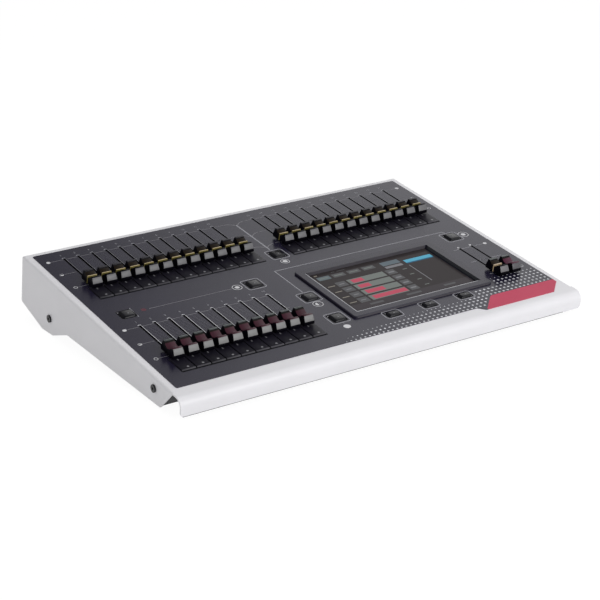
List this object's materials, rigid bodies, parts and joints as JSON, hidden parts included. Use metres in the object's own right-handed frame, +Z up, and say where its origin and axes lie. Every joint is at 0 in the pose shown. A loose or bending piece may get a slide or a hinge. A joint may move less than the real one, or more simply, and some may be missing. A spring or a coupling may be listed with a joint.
{
  "type": "lighting control desk",
  "caption": "Desktop lighting control desk: sloping folded metal case with a rolled front edge, slide faders, flash keys, round-cornered keys and a touch display in a raised frame.",
  "frame": {"origin": "on the ground under the middle of the desk's outer box", "axes": "+X to the operator's right, +Y to the rear (sockets), +Z up"},
  "size_m": [0.4596, 0.3256, 0.0693],
  "materials": {
    "shell_paint": "satin",
    "fascia_print": "fine matte print",
    "base_paint": "fine texture",
    "display_glass": "gloss",
    "track_steel": "plain",
    "board_laminate": "satin",
    "switch_plastic": "matte",
    "socket_plastic": "matte",
    "foot_rubber": "matte",
    "screw_steel": "blackened",
    "rocker_plastic": "gloss",
    "cap_black": "satin",
    "cap_maroon": "satin",
    "key_plastic": "satin"
  },
  "bodies": {
    "case": {"top_shell": "shell_paint", "fascia_overlay": "fascia_print", "base_pan": "base_paint", "touch_display": "display_glass", "fader_tracks": "track_steel", "circuit_boards": "board_laminate", "key_switches": "switch_plastic", "rear_sockets": "socket_plastic", "power_switch_body": "socket_plastic", "rubber_feet": "foot_rubber", "case_screws": "screw_steel"},
    "fader_rear_left_01": {"fader_rear_left_01": "cap_black"},
    "fader_rear_left_02": {"fader_rear_left_02": "cap_black"},
    "fader_rear_left_03": {"fader_rear_left_03": "cap_black"},
    "fader_rear_left_04": {"fader_rear_left_04": "cap_black"},
    "fader_rear_left_05": {"fader_rear_left_05": "cap_black"},
    "fader_rear_left_06": {"fader_rear_left_06": "cap_black"},
    "fader_rear_left_07": {"fader_rear_left_07": "cap_black"},
    "fader_rear_left_08": {"fader_rear_left_08": "cap_black"},
    "fader_rear_left_09": {"fader_rear_left_09": "cap_black"},
    "fader_rear_left_10": {"fader_rear_left_10": "cap_black"},
    "fader_rear_left_11": {"fader_rear_left_11": "cap_black"},
    "fader_rear_left_12": {"fader_rear_left_12": "cap_black"},
    "fader_rear_right_01": {"fader_rear_right_01": "cap_black"},
    "fader_rear_right_02": {"fader_rear_right_02": "cap_black"},
    "fader_rear_right_03": {"fader_rear_right_03": "cap_black"},
    "fader_rear_right_04": {"fader_rear_right_04": "cap_black"},
    "fader_rear_right_05": {"fader_rear_right_05": "cap_black"},
    "fader_rear_right_06": {"fader_rear_right_06": "cap_black"},
    "fader_rear_right_07": {"fader_rear_right_07": "cap_black"},
    "fader_rear_right_08": {"fader_rear_right_08": "cap_black"},
    "fader_rear_right_09": {"fader_rear_right_09": "cap_black"},
    "fader_rear_right_10": {"fader_rear_right_10": "cap_black"},
    "fader_rear_right_11": {"fader_rear_right_11": "cap_black"},
    "fader_rear_right_12": {"fader_rear_right_12": "cap_black"},
    "fader_front_01": {"fader_front_01": "cap_maroon"},
    "fader_front_02": {"fader_front_02": "cap_maroon"},
    "fader_front_03": {"fader_front_03": "cap_maroon"},
    "fader_front_04": {"fader_front_04": "cap_maroon"},
    "fader_front_05": {"fader_front_05": "cap_maroon"},
    "fader_front_06": {"fader_front_06": "cap_maroon"},
    "fader_front_07": {"fader_front_07": "cap_maroon"},
    "fader_front_08": {"fader_front_08": "cap_maroon"},
    "fader_front_09": {"fader_front_09": "cap_maroon"},
    "fader_front_10": {"fader_front_10": "cap_maroon"},
    "fader_master_01": {"fader_master_01": "cap_black"},
    "fader_master_02": {"fader_master_02": "cap_black"},
    "flash_keys_rear_left": {"flash_keys_rear_left": "key_plastic"},
    "flash_keys_rear_right": {"flash_keys_rear_right": "key_plastic"},
    "flash_keys_front": {"flash_keys_front": "key_plastic"},
    "aux_key_left": {"aux_key_left": "key_plastic"},
    "aux_key_link": {"aux_key_link": "key_plastic"},
    "aux_key_centre": {"aux_key_centre": "key_plastic"},
    "aux_key_next": {"aux_key_next": "key_plastic"},
    "aux_key_back": {"aux_key_back": "key_plastic"},
    "aux_key_master": {"aux_key_master": "key_plastic"},
    "soft_key_left": {"soft_key_left": "key_plastic"},
    "soft_key_middle": {"soft_key_middle": "key_plastic"},
    "soft_key_right": {"soft_key_right": "key_plastic"},
    "power_rocker": {"power_rocker": "rocker_plastic"}
  },
  "joints": [
    {"name": "fader_rear_left_01_slide", "type": "slide", "parent": "case", "child": "fader_rear_left_01", "axis": [0, 0.989, 0.1478], "range_m": [0, 0.06]},
    {"name": "fader_rear_left_02_slide", "type": "slide", "parent": "case", "child": "fader_rear_left_02", "axis": [0, 0.989, 0.1478], "range_m": [0, 0.06]},
    {"name": "fader_rear_left_03_slide", "type": "slide", "parent": "case", "child": "fader_rear_left_03", "axis": [0, 0.989, 0.1478], "range_m": [0, 0.06]},
    {"name": "fader_rear_left_04_slide", "type": "slide", "parent": "case", "child": "fader_rear_left_04", "axis": [0, 0.989, 0.1478], "range_m": [0, 0.06]},
    {"name": "fader_rear_left_05_slide", "type": "slide", "parent": "case", "child": "fader_rear_left_05", "axis": [0, 0.989, 0.1478], "range_m": [0, 0.06]},
    {"name": "fader_rear_left_06_slide", "type": "slide", "parent": "case", "child": "fader_rear_left_06", "axis": [0, 0.989, 0.1478], "range_m": [0, 0.06]},
    {"name": "fader_rear_left_07_slide", "type": "slide", "parent": "case", "child": "fader_rear_left_07", "axis": [0, 0.989, 0.1478], "range_m": [0, 0.06]},
    {"name": "fader_rear_left_08_slide", "type": "slide", "parent": "case", "child": "fader_rear_left_08", "axis": [0, 0.989, 0.1478], "range_m": [0, 0.06]},
    {"name": "fader_rear_left_09_slide", "type": "slide", "parent": "case", "child": "fader_rear_left_09", "axis": [0, 0.989, 0.1478], "range_m": [0, 0.06]},
    {"name": "fader_rear_left_10_slide", "type": "slide", "parent": "case", "child": "fader_rear_left_10", "axis": [0, 0.989, 0.1478], "range_m": [0, 0.06]},
    {"name": "fader_rear_left_11_slide", "type": "slide", "parent": "case", "child": "fader_rear_left_11", "axis": [0, 0.989, 0.1478], "range_m": [0, 0.06]},
    {"name": "fader_rear_left_12_slide", "type": "slide", "parent": "case", "child": "fader_rear_left_12", "axis": [0, 0.989, 0.1478], "range_m": [0, 0.06]},
    {"name": "fader_rear_right_01_slide", "type": "slide", "parent": "case", "child": "fader_rear_right_01", "axis": [0, 0.989, 0.1478], "range_m": [0, 0.06]},
    {"name": "fader_rear_right_02_slide", "type": "slide", "parent": "case", "child": "fader_rear_right_02", "axis": [0, 0.989, 0.1478], "range_m": [0, 0.06]},
    {"name": "fader_rear_right_03_slide", "type": "slide", "parent": "case", "child": "fader_rear_right_03", "axis": [0, 0.989, 0.1478], "range_m": [0, 0.06]},
    {"name": "fader_rear_right_04_slide", "type": "slide", "parent": "case", "child": "fader_rear_right_04", "axis": [0, 0.989, 0.1478], "range_m": [0, 0.06]},
    {"name": "fader_rear_right_05_slide", "type": "slide", "parent": "case", "child": "fader_rear_right_05", "axis": [0, 0.989, 0.1478], "range_m": [0, 0.06]},
    {"name": "fader_rear_right_06_slide", "type": "slide", "parent": "case", "child": "fader_rear_right_06", "axis": [0, 0.989, 0.1478], "range_m": [0, 0.06]},
    {"name": "fader_rear_right_07_slide", "type": "slide", "parent": "case", "child": "fader_rear_right_07", "axis": [0, 0.989, 0.1478], "range_m": [0, 0.06]},
    {"name": "fader_rear_right_08_slide", "type": "slide", "parent": "case", "child": "fader_rear_right_08", "axis": [0, 0.989, 0.1478], "range_m": [0, 0.06]},
    {"name": "fader_rear_right_09_slide", "type": "slide", "parent": "case", "child": "fader_rear_right_09", "axis": [0, 0.989, 0.1478], "range_m": [0, 0.06]},
    {"name": "fader_rear_right_10_slide", "type": "slide", "parent": "case", "child": "fader_rear_right_10", "axis": [0, 0.989, 0.1478], "range_m": [0, 0.06]},
    {"name": "fader_rear_right_11_slide", "type": "slide", "parent": "case", "child": "fader_rear_right_11", "axis": [0, 0.989, 0.1478], "range_m": [0, 0.06]},
    {"name": "fader_rear_right_12_slide", "type": "slide", "parent": "case", "child": "fader_rear_right_12", "axis": [0, 0.989, 0.1478], "range_m": [0, 0.06]},
    {"name": "fader_front_01_slide", "type": "slide", "parent": "case", "child": "fader_front_01", "axis": [0, 0.989, 0.1478], "range_m": [0, 0.06]},
    {"name": "fader_front_02_slide", "type": "slide", "parent": "case", "child": "fader_front_02", "axis": [0, 0.989, 0.1478], "range_m": [0, 0.06]},
    {"name": "fader_front_03_slide", "type": "slide", "parent": "case", "child": "fader_front_03", "axis": [0, 0.989, 0.1478], "range_m": [0, 0.06]},
    {"name": "fader_front_04_slide", "type": "slide", "parent": "case", "child": "fader_front_04", "axis": [0, 0.989, 0.1478], "range_m": [0, 0.06]},
    {"name": "fader_front_05_slide", "type": "slide", "parent": "case", "child": "fader_front_05", "axis": [0, 0.989, 0.1478], "range_m": [0, 0.06]},
    {"name": "fader_front_06_slide", "type": "slide", "parent": "case", "child": "fader_front_06", "axis": [0, 0.989, 0.1478], "range_m": [0, 0.06]},
    {"name": "fader_front_07_slide", "type": "slide", "parent": "case", "child": "fader_front_07", "axis": [0, 0.989, 0.1478], "range_m": [0, 0.06]},
    {"name": "fader_front_08_slide", "type": "slide", "parent": "case", "child": "fader_front_08", "axis": [0, 0.989, 0.1478], "range_m": [0, 0.06]},
    {"name": "fader_front_09_slide", "type": "slide", "parent": "case", "child": "fader_front_09", "axis": [0, 0.989, 0.1478], "range_m": [0, 0.06]},
    {"name": "fader_front_10_slide", "type": "slide", "parent": "case", "child": "fader_front_10", "axis": [0, 0.989, 0.1478], "range_m": [0, 0.06]},
    {"name": "fader_master_01_slide", "type": "slide", "parent": "case", "child": "fader_master_01", "axis": [0, 0.989, 0.1478], "range_m": [0, 0.06]},
    {"name": "fader_master_02_slide", "type": "slide", "parent": "case", "child": "fader_master_02", "axis": [0, 0.989, 0.1478], "range_m": [0, 0.06]},
    {"name": "flash_keys_rear_left_press", "type": "slide", "parent": "case", "child": "flash_keys_rear_left", "axis": [0, -0.1478, 0.989], "range_m": [-0.0008, 0], "stiffness_N_per_m": 600, "springref_m": 0.001},
    {"name": "flash_keys_rear_right_press", "type": "slide", "parent": "case", "child": "flash_keys_rear_right", "axis": [0, -0.1478, 0.989], "range_m": [-0.0008, 0], "stiffness_N_per_m": 600, "springref_m": 0.001},
    {"name": "flash_keys_front_press", "type": "slide", "parent": "case", "child": "flash_keys_front", "axis": [0, -0.1478, 0.989], "range_m": [-0.0008, 0], "stiffness_N_per_m": 600, "springref_m": 0.001},
    {"name": "aux_key_left_press", "type": "slide", "parent": "case", "child": "aux_key_left", "axis": [0, -0.1478, 0.989], "range_m": [-0.0008, 0], "stiffness_N_per_m": 200, "springref_m": 0.001},
    {"name": "aux_key_link_press", "type": "slide", "parent": "case", "child": "aux_key_link", "axis": [0, -0.1478, 0.989], "range_m": [-0.0008, 0], "stiffness_N_per_m": 200, "springref_m": 0.001},
    {"name": "aux_key_centre_press", "type": "slide", "parent": "case", "child": "aux_key_centre", "axis": [0, -0.1478, 0.989], "range_m": [-0.0008, 0], "stiffness_N_per_m": 200, "springref_m": 0.001},
    {"name": "aux_key_next_press", "type": "slide", "parent": "case", "child": "aux_key_next", "axis": [0, -0.1478, 0.989], "range_m": [-0.0008, 0], "stiffness_N_per_m": 200, "springref_m": 0.001},
    {"name": "aux_key_back_press", "type": "slide", "parent": "case", "child": "aux_key_back", "axis": [0, -0.1478, 0.989], "range_m": [-0.0008, 0], "stiffness_N_per_m": 200, "springref_m": 0.001},
    {"name": "aux_key_master_press", "type": "slide", "parent": "case", "child": "aux_key_master", "axis": [0, -0.1478, 0.989], "range_m": [-0.0008, 0], "stiffness_N_per_m": 200, "springref_m": 0.001},
    {"name": "soft_key_left_press", "type": "slide", "parent": "case", "child": "soft_key_left", "axis": [0, -0.1478, 0.989], "range_m": [-0.0008, 0], "stiffness_N_per_m": 200, "springref_m": 0.001},
    {"name": "soft_key_middle_press", "type": "slide", "parent": "case", "child": "soft_key_middle", "axis": [0, -0.1478, 0.989], "range_m": [-0.0008, 0], "stiffness_N_per_m": 200, "springref_m": 0.001},
    {"name": "soft_key_right_press", "type": "slide", "parent": "case", "child": "soft_key_right", "axis": [0, -0.1478, 0.989], "range_m": [-0.0008, 0], "stiffness_N_per_m": 200, "springref_m": 0.001},
    {"name": "power_rocker_tilt", "type": "hinge", "parent": "case", "child": "power_rocker", "pos_m": [-0.138, 0.15467, 0.04189], "axis": [0, -0.2251, 0.9743], "range_deg": [0, 14]}
  ]
}
